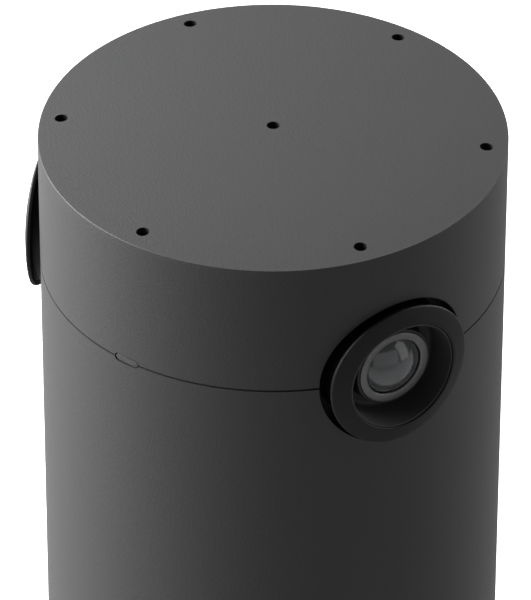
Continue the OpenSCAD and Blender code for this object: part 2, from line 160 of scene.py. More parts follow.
def make_floor():
    """A plain floor that is seen pale, and that throws back less light than it shows."""
    bpy.ops.object.select_all(action="DESELECT")
    bpy.ops.mesh.primitive_plane_add(size=30, location=(0, 0, 0))
    floor = bpy.context.object
    floor.name = "studio_floor"
    mat = bpy.data.materials.new("pale_floor")
    mat.use_nodes = True
    tree = mat.node_tree
    tree.nodes.clear()
    out = tree.nodes.new("ShaderNodeOutputMaterial")
    seen = tree.nodes.new("ShaderNodeMixShader")
    lit = tree.nodes.new("ShaderNodeAddShader")
    glow = tree.nodes.new("ShaderNodeEmission")
    matt = tree.nodes.new("ShaderNodeBsdfDiffuse")
    dim = tree.nodes.new("ShaderNodeBsdfDiffuse")
    path = tree.nodes.new("ShaderNodeLightPath")
    glow.inputs["Strength"].default_value = 0.8
    matt.inputs["Color"].default_value = (0.8, 0.8, 0.8, 1)
    dim.inputs["Color"].default_value = (0.25, 0.25, 0.25, 1)
    tree.links.new(glow.outputs[0], lit.inputs[0])
    tree.links.new(matt.outputs[0], lit.inputs[1])
    tree.links.new(path.outputs["Is Camera Ray"], seen.inputs["Fac"])
    tree.links.new(dim.outputs[0], seen.inputs[1])
    tree.links.new(lit.outputs[0], seen.inputs[2])
    tree.links.new(seen.outputs[0], out.inputs["Surface"])
    floor.data.materials.append(mat)


# ---------- modelling ----------

def deselect():
    bpy.ops.object.select_all(action="DESELECT")


def pick(piece):
    deselect()
    piece.select_set(True)
    bpy.context.view_layer.objects.active = piece


def edit(piece, mode="VERT"):
    pick(piece)
    bpy.ops.object.mode_set(mode="EDIT")
    bpy.ops.mesh.select_mode(type=mode)
    bpy.ops.mesh.select_all(action="DESELECT")


def done():
    bpy.ops.object.mode_set(mode="OBJECT")


def select_where(piece, kind, test):
    """Selects vertices or edges in edit mode by a test on their middle, in millimetres."""
    bpy.ops.mesh.select_all(action="DESELECT")
    bpy.ops.object.mode_set(mode="OBJECT")
    mesh = piece.data
    for item in mesh.vertices if kind == "VERT" else mesh.edges:
        if kind == "VERT":
            middle = item.co
        else:
            middle = (mesh.vertices[item.vertices[0]].co + mesh.vertices[item.vertices[1]].co) / 2
        item.select = bool(test(middle / MM, item))
    bpy.ops.object.mode_set(mode="EDIT")


def corner(cx, cz, radius, start, end, steps):
    """Points of a rounded corner of a turned profile, in degrees."""
    return [
        (cx + radius * math.cos(math.radians(a)), cz + radius * math.sin(math.radians(a)))
        for a in (start + (end - start) * i / steps for i in range(steps + 1))
    ]


def turned(name, profile, steps, closed=True, smooth=35):
    """A piece spun about +Z from one edge-by-edge extruded profile of (radius, height)."""
    deselect()
    bpy.ops.mesh.primitive_plane_add(size=MM, location=(0, 0, 0))
    piece = bpy.context.object
    piece.name = name
    piece.data.name = name
    edit(piece)
    bpy.ops.mesh.select_all(action="SELECT")
    bpy.ops.mesh.merge(type="CENTER")
    bpy.ops.transform.translate(value=(profile[0][0] * MM, 0, profile[0][1] * MM))
    outline = profile + profile[:1] if closed else profile
    for here, there in zip(outline, outline[1:]):
        step = ((there[0] - here[0]) * MM, 0, (there[1] - here[1]) * MM)
        bpy.ops.mesh.extrude_region_move(TRANSFORM_OT_translate={"value": step})
    bpy.ops.mesh.select_all(action="SELECT")
    bpy.ops.mesh.spin(steps=steps, angle=2 * math.pi, center=(0, 0, 0), axis=(0, 0, 1))
    bpy.ops.mesh.select_all(action="SELECT")
    bpy.ops.mesh.remove_doubles(threshold=1e-6)
    bpy.ops.mesh.normals_make_consistent(inside=False)
    done()
    rings = piece.data.attributes.new("turning", "FLOAT_VECTOR", "POINT")
    for i, v in enumerate(piece.data.vertices):
        rings.data[i].vector = (math.hypot(v.co.x, v.co.y), v.co.z, 0)
    smooth_shade(piece, smooth)
    return piece


def smooth_shade(piece, angle=35):
    pick(piece)
    bpy.ops.object.shade_smooth_by_angle(angle=math.radians(angle))


def block(name, low, high):
    """A box between two corners, millimetres."""
    deselect()
    middle = [(a + b) / 2 * MM for a, b in zip(low, high)]
    bpy.ops.mesh.primitive_cube_add(size=1, location=middle)
    piece = bpy.context.object
    piece.name = name
    piece.scale = [(b - a) * MM for a, b in zip(low, high)]
    bpy.ops.object.transform_apply(location=True, rotation=True, scale=True)
    return piece


def rod(name, radius, start, end, sides=64):
    """A cylinder from one point to another, millimetres."""
    deselect()
    a, b = Vector(start), Vector(end)
    turn = (b - a).to_track_quat("Z", "Y").to_euler()
    bpy.ops.mesh.primitive_cylinder_add(
        vertices=sides, radius=radius * MM, depth=(b - a).length * MM,
        location=(a + b) / 2 * MM, rotation=turn,
    )
    piece = bpy.context.object
    piece.name = name
    bpy.ops.object.transform_apply(location=True, rotation=True, scale=True)
    return piece


def stadium(name, width, height, y_from, y_to, x=0.0, z=SEAM_Z):
    """A bar along Y with round sides: a cylinder whose halves are pulled apart."""
    piece = rod(name, height / 2, (x, y_from, z), (x, y_to, z), 48)
    edit(piece)
    for side in (-1, 1):
        select_where(piece, "VERT", lambda co, v: (co.x - x) * side > 0.001)
        bpy.ops.transform.translate(value=(side * (width - height) / 2 * MM, 0, 0))
    done()
    return piece


def shape_with(piece, tool, operation="DIFFERENCE"):
    pick(piece)
    cut = piece.modifiers.new("cut", "BOOLEAN")
    cut.operation = operation
    cut.solver = "EXACT"
    cut.object = tool
    bpy.ops.object.modifier_apply(modifier=cut.name)
    bpy.data.objects.remove(tool)


def round_edges(piece, width, segments=3, angle=40):
    pick(piece)
    bevel = piece.modifiers.new("edges", "BEVEL")
    bevel.width = width * MM
    bevel.segments = segments
    bevel.limit_method = "ANGLE"
    bevel.angle_limit = math.radians(angle)
    bevel.harden_normals = False
    bpy.ops.object.modifier_apply(modifier=bevel.name)


def even_shading(piece):
    """Large flat faces keep their own shading beside rounded edges."""
    pick(piece)
    weigh = piece.modifiers.new("shading", "WEIGHTED_NORMAL")
    weigh.keep_sharp = True
    bpy.ops.object.modifier_apply(modifier=weigh.name)


def camera_place(side):
    turn = Matrix.Rotation(math.radians(-90 + side * CAMERA_ANGLE), 4, "Z")
    lift = Matrix.Translation((0, 0, SEAM_Z * MM))
    return turn @ lift @ Matrix.Rotation(math.radians(90), 4, "Y")


def for_camera(piece, side, name):
    """A copy of a piece turned about +Z, set on one camera's axis."""
    mesh = piece.data.copy()
    mesh.name = name
    copy = bpy.data.objects.new(name, mesh)
    bpy.context.scene.collection.objects.link(copy)
    mesh.transform(camera_place(side))
    return copy


def both_cameras(piece, node, material):
    for word, side in SIDES.items():
        copy = for_camera(piece, side, f"{word}_{piece.name}")
        finish_piece(copy, material, f"{word}_{node}")
    bpy.data.objects.remove(piece)


def finish_piece(piece, material, node, body="tower"):
    piece.data.materials.clear()
    piece.data.materials.append(material)
    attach(piece, body)
    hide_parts(node)


# ---------- finishes ----------

class Finish:
    """A material and short ways to add nodes to it."""

    def __init__(self, name, colour, roughness, metallic=0.0, specular=0.5):
        self.mat = bpy.data.materials.new(name)
        self.mat.use_nodes = True
        self.tree = self.mat.node_tree
        self.shader = self.tree.nodes["Principled BSDF"]
        self.colour = colour
        self.set("Base Color", (*colour, 1))
        self.set("Roughness", roughness)
        self.set("Metallic", metallic)
        self.set("Specular IOR Level", specular)
        self.place = self.add("ShaderNodeTexCoord").outputs["Object"]

    def set(self, socket, value):
        self.shader.inputs[socket].default_value = value

    def add(self, kind, **values):
        node = self.tree.nodes.new(kind)
        for key, value in values.items():
            setattr(node, key, value)
        return node

    def join(self, start, end):
        self.tree.links.new(start, end)

    def feed(self, node, **values):
        for key, value in values.items():
            socket = node.inputs[key.replace("_", " ")]
            if hasattr(value, "is_linked"):
                self.join(value, socket)
            else:
                socket.default_value = value
        return node

    def noise(self, grain_mm, detail=3.0, coords=None):
        node = self.add("ShaderNodeTexNoise")
        self.feed(node, Vector=coords or self.place, Scale=1 / (grain_mm * MM), Detail=detail)
        return node.outputs["Fac"]

    def stretch(self, x, y, z):
        node = self.add("ShaderNodeMapping")
        self.feed(node, Vector=self.place, Scale=(x, y, z))
        return node.outputs["Vector"]

    def maths(self, operation, a, b=0.0):
        node = self.add("ShaderNodeMath", operation=operation)
        for socket, value in zip(node.inputs, (a, b)):
            if hasattr(value, "is_linked"):
                self.join(value, socket)
            else:
                socket.default_value = value
        return node.outputs[0]

    def span(self, value, low, high, out_low, out_high):
        node = self.add("ShaderNodeMapRange")
        self.feed(node, Value=value, From_Min=low, From_Max=high, To_Min=out_low, To_Max=out_high)
        return node.outputs["Result"]

    def tint(self, value, dark, light):
        """Colour between two versions of the finish's own colour."""
        ramp = self.add("ShaderNodeValToRGB")
        ramp.color_ramp.elements[0].position = 0.25
        ramp.color_ramp.elements[1].position = 0.75
        ramp.color_ramp.elements[0].color = (*[c * dark for c in self.colour], 1)
        ramp.color_ramp.elements[1].color = (*[c * light for c in self.colour], 1)
        self.join(value, ramp.inputs["Fac"])
        return ramp.outputs["Color"]

    def mix(self, amount, a, b):
        node = self.add("ShaderNodeMix", data_type="RGBA")
        for socket, value in ((node.inputs[0], amount), (node.inputs[6], a), (node.inputs[7], b)):
            if hasattr(value, "is_linked"):
                self.join(value, socket)
            elif isinstance(value, tuple):
                socket.default_value = (*value, 1)
            else:
                socket.default_value = value
        return node.outputs[2]

    def bump(self, height, depth_mm):
        node = self.add("ShaderNodeBump")
        self.feed(node, Height=height, Distance=depth_mm * MM, Strength=1.0)
        return node.outputs["Normal"]

    def turning(self):
        node = self.add("ShaderNodeAttribute", attribute_name="turning")
        split = self.add("ShaderNodeSeparateXYZ")
        self.join(node.outputs["Vector"], split.inputs[0])
        return split.outputs

    def surface(self, colour=None, roughness=None, normal=None):
        for value, socket in ((colour, "Base Color"), (roughness, "Roughness"), (normal, "Normal")):
            if value is not None:
                self.join(value, self.shader.inputs[socket])
        return self.mat


def moulded(name, colour, roughness, grain=0.35, depth=0.02, specular=0.5):
    """Spark-textured moulded plastic: a fine even grain and faint flow marks."""
    f = Finish(name, colour, roughness, specular=specular)
    fine = f.noise(grain, 4)
    flow = f.noise(38, 2, f.stretch(1, 1, 0.35))
    both = f.maths("ADD", f.maths("MULTIPLY", fine, 0.6), f.maths("MULTIPLY", flow, 0.4))
    return f.surface(
        f.tint(both, 0.9, 1.1),
        f.span(both, 0.3, 0.7, roughness - 0.05, roughness + 0.06),
        f.bump(fine, depth),
    )


def housing_finish(name, colour, roughness):
    """The housing's dark grey plastic, smoother where hands wear its rim, and lighter there: partly
    wear, partly a painted highlight along the rim edge.
    """
    f = Finish(name, colour, roughness, specular=0.5)
    fine = f.noise(0.42, 4)
    pits = f.add("ShaderNodeTexVoronoi")
    f.feed(pits, Vector=f.place, Scale=1 / (0.5 * MM))
    flow = f.noise(45, 3, f.stretch(1, 1, 0.3))
    split = f.add("ShaderNodeSeparateXYZ")
    f.join(f.place, split.inputs[0])
    radius = f.maths("POWER", f.maths("ADD", f.maths("POWER", split.outputs[0], 2.0),
                                      f.maths("POWER", split.outputs[1], 2.0)), 0.5)
    rim = f.maths("MULTIPLY", f.span(radius, (BODY_R - 0.85) * MM, (BODY_R - 0.25) * MM, 0, 1),
                  f.span(split.outputs[2], (RIM_Z - 1.2) * MM, (RIM_Z - 0.2) * MM, 0, 1))
    # Lighter, smoother patches at the top rim: wear, and a painted highlight standing in for the light
    # the rim edge catches.
    rim_wear_and_highlight = f.maths("MULTIPLY", rim, f.span(f.noise(3.5, 4), 0.35, 0.65, 0.25, 1))
    grain = f.maths("ADD", f.maths("MULTIPLY", fine, 0.7), f.maths("MULTIPLY", flow, 0.3))
    base = f.tint(grain, 0.86, 1.14)
    worn_and_highlit = f.mix(rim_wear_and_highlight, base, tuple(c * 1.1 for c in colour))
    rough = f.maths("SUBTRACT", f.span(grain, 0.3, 0.7, roughness - 0.04, roughness + 0.05),
                    f.maths("MULTIPLY", rim_wear_and_highlight, 0.04))
    height = f.maths("ADD", fine, f.maths("MULTIPLY", pits.outputs["Distance"], 0.5))
    return f.surface(worn_and_highlit, rough, f.bump(height, 0.03))


def turned_metal(name, colour, roughness, pitch=0.12, depth=0.01, metallic=1.0):
    """Lathe-turned metal, bare or blacked: fine rings about the piece's own axis, a faint mottle."""
    f = Finish(name, colour, roughness, metallic=metallic)
    radius, height = f.turning()[0], f.turning()[1]
    along = f.maths("ADD", radius, height)
    rings = f.maths("SINE", f.maths("MULTIPLY", along, 2 * math.pi / (pitch * MM)))
    mottle = f.noise(0.9, 4)
    return f.surface(
        f.tint(mottle, 0.85, 1.12),
        f.span(mottle, 0.3, 0.7, roughness - 0.05, roughness + 0.08),
        f.bump(f.maths("ADD", f.maths("MULTIPLY", rings, 0.5), mottle), depth),
    )


def worked_metal(name, colour, roughness, run=(1, 1, 0.06), grain=0.25, depth=0.006):
    """Brushed or cast metal: a grain that runs one way where its three scales differ."""
    f = Finish(name, colour, roughness, metallic=1.0)
    brushed = f.noise(grain, 4, f.stretch(*run))
    cloud = f.noise(9, 3)
    both = f.maths("ADD", f.maths("MULTIPLY", brushed, 0.6), f.maths("MULTIPLY", cloud, 0.4))
    return f.surface(
        f.tint(both, 0.8, 1.12),
        f.span(both, 0.3, 0.7, roughness - 0.08, roughness + 0.1),
        f.bump(brushed, depth),
    )


def rubber(name, colour, roughness=0.75):
    """Matt rubber with a fine bloom."""
    f = Finish(name, colour, roughness, specular=0.3)
    fine = f.noise(0.3, 5)
    bloom = f.noise(12, 4)
    both = f.maths("ADD", f.maths("MULTIPLY", fine, 0.4), f.maths("MULTIPLY", bloom, 0.6))
    return f.surface(
        f.tint(both, 0.75, 1.35),
        f.span(bloom, 0.3, 0.7, roughness - 0.1, roughness + 0.1),
        f.bump(fine, 0.03),
    )


def solder_mask(name, colour):
    """A circuit board: copper tracks under green mask, plated vias and pads."""
    f = Finish(name, colour, 0.35)
    tracks = f.add("ShaderNodeTexBrick", offset=0.37, squash=2.0, squash_frequency=3)
    f.feed(tracks, Vector=f.place, Scale=1.0, Mortar_Size=0.00022, Mortar_Smooth=0.1)
    f.feed(tracks, Brick_Width=0.0061, Row_Height=0.0013)
    vias = f.add("ShaderNodeTexVoronoi")
    f.feed(vias, Vector=f.place, Scale=1 / (3.1 * MM))
    plated = f.span(vias.outputs["Distance"], 0.09, 0.12, 1, 0)
    green = f.mix(tracks.outputs["Fac"], f.colour, tuple(c * 2.2 for c in f.colour))
    cloud = f.noise(6, 4)
    gilt = (0.62, 0.48, 0.18)
    return f.surface(
        f.mix(plated, green, gilt),
        f.span(cloud, 0.3, 0.7, 0.28, 0.42),
        f.bump(f.maths("ADD", tracks.outputs["Fac"], plated), 0.03),
    )


def lens_glass(name, tint, coat_ior, haze):
    """Coated glass: the coating's own reflection, a faint smear, and haze in the glass."""
    f = Finish(name, tint, 0.04)
    f.set("Transmission Weight", 1.0 - haze)
    f.set("IOR", 1.5)
    f.set("Coat Weight", 1.0)
    f.set("Coat Roughness", 0.12)
    f.set("Coat IOR", coat_ior)
    f.set("Coat Tint", (0.97, 0.98, 1.0, 1))
    smear = f.noise(2.2, 3)
    return f.surface(roughness=f.span(smear, 0.35, 0.75, 0.04, 0.14))


def woven_mesh(name, colour):
    """Fine woven acoustic cloth."""
    f = Finish(name, colour, 0.7, specular=0.3)
    across = f.add("ShaderNodeTexWave", wave_type="BANDS", bands_direction="X")
    along = f.add("ShaderNodeTexWave", wave_type="BANDS", bands_direction="Y")
    for threads in (across, along):
        f.feed(threads, Vector=f.place, Scale=1 / (0.9 * MM))
    weave = f.maths("MULTIPLY", across.outputs["Fac"], along.outputs["Fac"])
    return f.surface(f.tint(weave, 0.4, 1.8), f.span(weave, 0, 1, 0.6, 0.8), f.bump(weave, 0.05))


def diffuser(name, colour):
    """The status light's milky window."""
    f = Finish(name, colour, 0.38)
    f.set("Subsurface Weight", 0.15)
    f.set("Subsurface Radius", (0.001, 0.001, 0.001))
    haze = f.noise(0.8, 4)
    return f.surface(
        f.tint(haze, 0.92, 1.08),
        f.span(haze, 0.3, 0.7, 0.32, 0.44),
        f.bump(f.noise(0.3, 4), 0.008),
    )


def film(name, colour):
    """A ribbon cable: copper tracks side by side under clear amber film."""
    f = Finish(name, colour, 0.3)
    f.set("Coat Weight", 0.4)
    f.set("Coat Roughness", 0.15)
    lines = f.add("ShaderNodeTexWave", wave_type="BANDS", bands_direction="X")
    f.feed(lines, Vector=f.place, Scale=1 / (3.2 * MM), Distortion=0.0)
    cloud = f.noise(4, 3)
    return f.surface(
        f.tint(lines.outputs["Fac"], 0.6, 1.25),
        f.span(cloud, 0.3, 0.7, 0.22, 0.4),
        f.bump(lines.outputs["Fac"], 0.02),
    )


HOUSING_COLOUR = (0.040, 0.040, 0.0415)


def make_finishes():
    return {
        "housing_plastic": housing_finish("housing_grey", HOUSING_COLOUR, 0.46),
        "bay_plastic": moulded("bay_black", (0.014, 0.014, 0.015), 0.5),
        "bezel_plastic": moulded(
            "bezel_black", (0.005, 0.005, 0.0053), 0.5, 0.3, 0.012, specular=0.4),
        "shroud_plastic": moulded("shroud_grey", (0.065, 0.065, 0.066), 0.5, 0.25, 0.015),
        "barrel_metal": turned_metal("barrel_black", (0.022, 0.022, 0.023), 0.4, metallic=0.0),
        "ring_metal": turned_metal("ring_grey", (0.23, 0.23, 0.235), 0.34, 0.1, 0.008),
        "lens_glass": lens_glass("front_glass", (0.2, 0.203, 0.208), 1.6, 0.6),
        "inner_glass": lens_glass("inner_glass", (0.1, 0.105, 0.11), 1.35, 0.2),
        "holder_plastic": moulded("holder_black", (0.01, 0.01, 0.01), 0.55),
        "circuit_board": solder_mask("board_green", (0.012, 0.06, 0.026)),
        "sensor_glass": moulded("sensor_dark", (0.02, 0.024, 0.04), 0.12, 0.5, 0.002),
        "ribbon": film("ribbon_amber", (0.32, 0.13, 0.025)),
        "light_diffuser": diffuser("window_grey", (0.05, 0.05, 0.052)),
        "led_package": moulded("led_yellow", (0.75, 0.66, 0.3), 0.25, 0.4, 0.004),
        "seal_rubber": rubber("seal_black", (0.008, 0.008, 0.008)),
        "foot_rubber": rubber("foot_black", (0.012, 0.012, 0.012)),
        "thermal_rubber": rubber("pad_blue", (0.22, 0.27, 0.33), 0.6),
        "acoustic_mesh": woven_mesh("mesh_black", (0.006, 0.006, 0.006)),
        "mic_metal": worked_metal("mic_gold", (0.72, 0.55, 0.26), 0.3),
        "base_metal": worked_metal("dark_anodised", (0.075, 0.075, 0.078), 0.5, (1, 1, 1), 0.7, 0.03),
        "ballast_steel": worked_metal("ground_steel", (0.42, 0.42, 0.43), 0.34, (0.08, 1, 1)),
        "insert_brass": worked_metal("turned_brass", (0.72, 0.52, 0.22), 0.28, (1, 1, 4)),
        "screw_steel": worked_metal("screw_zinc", (0.55, 0.55, 0.57), 0.3, (1, 1, 1), 0.3, 0.006),
        "port_metal": worked_metal("port_nickel", (0.58, 0.58, 0.59), 0.26, (0.06, 1, 1)),
        "chip_plastic": moulded("chip_black", (0.015, 0.015, 0.015), 0.42, 0.2, 0.01),
        "socket_plastic": moulded("socket_ivory", (0.62, 0.58, 0.47), 0.4),
        "button_plastic": moulded("button_grey", (0.03, 0.03, 0.031), 0.4, 0.3, 0.01),
    }


# ---------- pieces of the housing ----------

def mic_places():
    ring = [(-90 + MIC_TURN + 60 * i) for i in range(6)]
    return [(0.0, 0.0)] + [
        (MIC_RING_R * math.cos(math.radians(a)), MIC_RING_R * math.sin(math.radians(a))) for a in ring
    ]


def on_ring(angle, radius):
    return radius * math.cos(math.radians(angle)), radius * math.sin(math.radians(angle))


def steps_between(start, end, count):
    return [start + (end - start) * i / count for i in range(count + 1)]


def cut_camera_holes(shell):
    past_wall = BODY_R + 10
    for side in SIDES.values():
        tool = rod("hole_tool", PORT_R, (0, 0, 0), (0, 0, past_wall), 180)
        tool.data.transform(camera_place(side))
        shape_with(shell, tool)


def cut_light_slot(shell):
    width, height = LIGHT_W + 2 * SLOT_CLEARANCE, LIGHT_H + 2 * SLOT_CLEARANCE
    shape_with(shell, stadium("slot_tool", width, height, -BODY_R + 6, -BODY_R - 4))


def sound_holes():
    """One cutting tool for all the lid's holes: a pin at each microphone."""
    low, high = LID_UNDER_Z - 1, RIM_Z + CROWN + 1
    pins = [rod("sound_tool", MIC_HOLE_R, (x, y, low), (x, y, high), 48) for x, y in mic_places()]
    deselect()
    for pin in pins:
        pin.select_set(True)
    bpy.context.view_layer.objects.active = pins[0]
    bpy.ops.object.join()
    return pins[0]


def paint_sound_hole_shade(shell, material):
    """Gives the walls of the sound holes the near-black finish of the seal below them: painted shade
    for the dark of deep, narrow holes.
    """
    shell.data.materials.append(material)
    for face in shell.data.polygons:
        x, y, z = face.center / MM
        # Painted shade: these hole-wall faces take the dark seal finish instead of the housing's
        # plastic.
        if z > LID_UNDER_Z and abs(face.normal.z) < 0.3:
            if min(math.hypot(x - a, y - b) for a, b in mic_places()) < MIC_HOLE_R * 1.05:
                face.material_index = 1


def upper_shell(finishes):
    """Lid and wall above the seam: crowned top, small round rim, rabbet, screw bosses, holes."""
    ball = (BODY_R ** 2 + CROWN ** 2) / (2 * CROWN)
    top = RIM_Z + CROWN
    rim = 0.12
    boss_r, boss_hole_r, boss_drop = 2.6, 1.0, 1.1
    lip = SEAM_Z + SEAM_GAP / 2
    crown = [
        (r, top - ball + math.sqrt(ball ** 2 - r ** 2)) for r in steps_between(0, BODY_R - rim, 22)
    ]
    edge = corner(BODY_R - rim, crown[-1][1] - rim, rim, 80, 0, 7)
    wall = [(BODY_R, z) for z in steps_between(edge[-1][1], lip, 14)][1:]
    inside = [(RABBET_R, lip), (RABBET_R, RABBET_TOP), (INNER_R, RABBET_TOP),
              (INNER_R, LID_UNDER_Z), (0, LID_UNDER_Z)]
    shell = turned("upper_shell", crown + edge + wall + inside, WALL_SIDES, closed=False)
    for angle in LID_BOSS_ANGLES:
        x, y = on_ring(angle, LID_BOSS_RING_R)
        boss = rod("boss", boss_r, (x, y, LID_UNDER_Z - boss_drop), (x, y, LID_UNDER_Z + 0.5), 32)
        hole = rod("boss_tool", boss_hole_r, (x, y, LID_UNDER_Z - 3), (x, y, LID_UNDER_Z + 1.3), 24)
        shape_with(shell, boss, "UNION")
        shape_with(shell, hole)
    shape_with(shell, sound_holes())
    cut_camera_holes(shell)
    cut_light_slot(shell)
    smooth_shade(shell)
    finish_piece(shell, finishes["housing_plastic"], "upper_housing")
    paint_sound_hole_shade(shell, finishes["seal_rubber"])


def lower_shell(finishes):
    """Wall below the seam: tongue, softened lower edge, screw bosses and the cable bay's window."""
    lip = SEAM_Z - SEAM_GAP / 2
    soft = 0.8
    below_cameras = lip - 17
    boss_half, boss_low, boss_top, boss_hole_r, boss_hole_top = 3.6, 10.1, 28, 1.55, 24
    profile = (
        [(TONGUE_R, lip), (TONGUE_R, TONGUE_TOP), (INNER_R, TONGUE_TOP),
         (INNER_R, HOUSING_Z)]
        + corner(BODY_R - soft, HOUSING_Z + soft, soft, -90, 0, 6)
        + [(BODY_R, z) for z in steps_between(HOUSING_Z + soft, below_cameras, 30)][1:]
        + [(BODY_R, z) for z in steps_between(below_cameras, lip, 10)][1:]
    )
    shell = turned("lower_shell", profile, WALL_SIDES)
    for angle in BOSS_ANGLES:
        boss = block("boss", (BOSS_RING_R - boss_half, -boss_half, boss_low),
                     (INNER_R + 0.9, boss_half, boss_top))
        boss.data.transform(Matrix.Rotation(math.radians(angle), 4, "Z"))
        shape_with(shell, boss, "UNION")
        x, y = on_ring(angle, BOSS_RING_R)
        shape_with(shell, rod("boss_tool", boss_hole_r, (x, y, 5), (x, y, boss_hole_top), 32))
    shape_with(shell, bay_box("bay_tool", 28, BODY_R + 5, 0))
    cut_camera_holes(shell)
    cut_light_slot(shell)
    smooth_shade(shell)
    finish_piece(shell, finishes["housing_plastic"], "lower_housing")


def bay_box(name, y_from, y_to, gap):
    """The bay's window, smaller by a gap all round, as a block with four long edges rounded."""
    side, low, high = BAY_W / 2 - gap, BAY_Z + gap, BAY_Z + BAY_H - gap
    middle = BAY_Z + BAY_H / 2
    box = block(name, (-side, y_from, low), (side, y_to, high))
    edit(box, "EDGE")
    select_where(
        box, "EDGE", lambda co, e: abs(co.x) > BAY_W / 4 and abs(co.z - middle) > BAY_H / 4
    )
    bpy.ops.mesh.bevel(offset=(BAY_ROUNDING - gap * 0.5) * MM, segments=6, affect="EDGES")
    done()
    return box


def bay_liner(finishes):
    """The cable bay's tray: rounded pocket, flange behind the wall, windows for sockets and buttons."""
    back, back_t, wall_t, fit, flange_w, flange_t = 26.0, 1.6, 1.2, 0.2, 2, 3
    liner = bay_box("bay_liner", back, BODY_R, fit)
    flange = block("flange", (-BAY_W / 2 - flange_w, back, BAY_Z - flange_w),
                   (BAY_W / 2 + flange_w, back + flange_t, BAY_Z + BAY_H + flange_w))
    shape_with(flange, rod("flange_tool", INNER_R - 0.3, (0, 0, 0), (0, 0, 80), 180), "INTERSECT")
    shape_with(liner, rod("liner_tool", BODY_R - 0.4, (0, 0, 0), (0, 0, 80), WALL_SIDES), "INTERSECT")
    shape_with(liner, flange, "UNION")
    shape_with(liner, bay_box("pocket_tool", back + back_t, BODY_R + 3, fit + wall_t))
    socket_low, socket_high = [[v / MM for v in point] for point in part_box("ethernet_port")]
    shape_with(liner, block("network_tool", (socket_low[0] - fit, back - 1, socket_low[2] - fit),
                            (socket_high[0] + fit, back + flange_t, socket_high[2] + fit)))
    for x in USB_X:
        shape_with(liner, stadium("usb_tool", USB_W, USB_H, back - 3, back + 3, x, USB_Z))
    for x in (RESET_X, PAIR_X):
        hole = rod("button_tool", BUTTON_HOLE_R, (x, back - 1, BUTTON_Z), (x, back + 3, BUTTON_Z), 48)
        shape_with(liner, hole)
    round_edges(liner, 0.2, 2)
    smooth_shade(liner)
    even_shading(liner)
    finish_piece(liner, finishes["bay_plastic"], "io_tray")


def network_socket(finishes):
    """A plated shell round a dark cavity with the latch's notch, and eight gilt contacts."""
    low, high = [[v / MM for v in point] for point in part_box("ethernet_port")]
    x, z, mouth = (low[0] + high[0]) / 2, low[2], high[1]
    contact_z, contact_half, contact_span, contact_front = z + 9.4, 0.2, 3.57, mouth - 2.5
    half, depth, floor, roof = 5.9, 11, z + 2.4, z + 10.6
    latch_half, latch_low, latch_high = 3, z + 1, z + 4
    bottom = mouth - depth
    shell = block("network_shell", low, high)
    shape_with(shell, block("cavity_tool", (x - half, bottom, floor), (x + half, mouth + 1, roof)))
    shape_with(shell, block("latch_tool", (x - latch_half, bottom, latch_low),
                            (x + latch_half, mouth + 1, latch_high)))
    round_edges(shell, 0.15, 2)
    pins = [
        block("contact", (x + at - contact_half, bottom - 0.3, contact_z - contact_half),
              (x + at + contact_half, contact_front, contact_z + contact_half))
        for at in steps_between(-contact_span, contact_span, 7)
    ]
    pick(shell)
    for pin in pins:
        pin.select_set(True)
    bpy.ops.object.join()
    smooth_shade(shell)
    even_shading(shell)
    finish_piece(shell, finishes["port_metal"], "ethernet_port")
    shell.data.materials.append(finishes["chip_plastic"])
    shell.data.materials.append(finishes["mic_metal"])
    for face in shell.data.polygons:
        at = face.center / MM
        across = abs(at.x - x)
        in_depth = bottom - 0.4 < at.y < mouth - 0.2
        if in_depth and across < half + 0.05 and latch_low - 0.05 < at.z < roof + 0.05:
            on_contact = abs(at.z - contact_z) < contact_half + 0.05 and across < contact_span + 0.43
            face.material_index = 2 if on_contact else 1


def light_window(finishes):
    """The status light's window: a rounded bar just below the wall's surface, with its flange."""
    back, sunk, flange_half, flange_rise = -37.8, 0.15, 3.9, 2
    window = stadium("light_window", LIGHT_W, LIGHT_H, back, -BODY_R - 2)
    wall = rod("wall_tool", BODY_R - sunk, (0, 0, 200), (0, 0, 250), WALL_SIDES)
    shape_with(window, wall, "INTERSECT")
    round_edges(window, 0.1, 3, 50)
    flange = block("flange", (-flange_half, -INNER_R + 0.4, SEAM_Z - flange_rise),
                   (flange_half, -INNER_R + 1.6, SEAM_Z + flange_rise))
    shape_with(window, flange, "UNION")
    smooth_shade(window)
    finish_piece(window, finishes["light_diffuser"], "light_pipe")


# ---------- pieces of the cameras ----------

def bend_sides_back(ring):
    """Bends a flat front about an upright axis, so that its sides drop towards the round wall."""
    for v in ring.data.vertices:
        if v.co.z > BEND_FROM * MM:
            across = v.co.y / MM
            v.co.z -= (BEZEL_BEND_R - math.sqrt(BEZEL_BEND_R ** 2 - across ** 2)) * MM


def bezels(finishes):
    """Curved plates that follow the wall, on narrower necks, so that the gap under them shows dark."""
    neck, flange, flange_t = BEZEL_R - 1.4, 35.2, 1.4
    front, under = BEZEL_FRONT, BEZEL_FRONT - BEZEL_T
    slope, edge, lip = BEZEL_SLOPE, 0.35, 0.25
    flange_r, flange_top = BEZEL_R + 2.2, flange + flange_t
    rim = front - slope
    profile = (
        [(OPENING_R + 0.8, flange), (flange_r, flange), (flange_r, flange_top), (neck, flange_top),
         (neck, under - slope - 0.3), (neck + 0.3, under - slope), (BEZEL_R - 0.15, under - slope)]
        + corner(BEZEL_R - edge, rim - edge, edge, -30, 77, 7)
        + [(r, rim + slope * (BEZEL_R - r) / (BEZEL_R - OPENING_R))
           for r in steps_between(BEZEL_R - edge, OPENING_R + lip, 4)][1:-1]
        + corner(OPENING_R + lip, front - lip, lip, 90, 180, 5)
        + [(OPENING_R, under), (OPENING_R + 0.8, under)]
    )
    ring = turned("bezel_ring", profile, 180)
    bend_sides_back(ring)
    smooth_shade(ring, 32)
    both_cameras(ring, "bezel", finishes["bezel_plastic"])


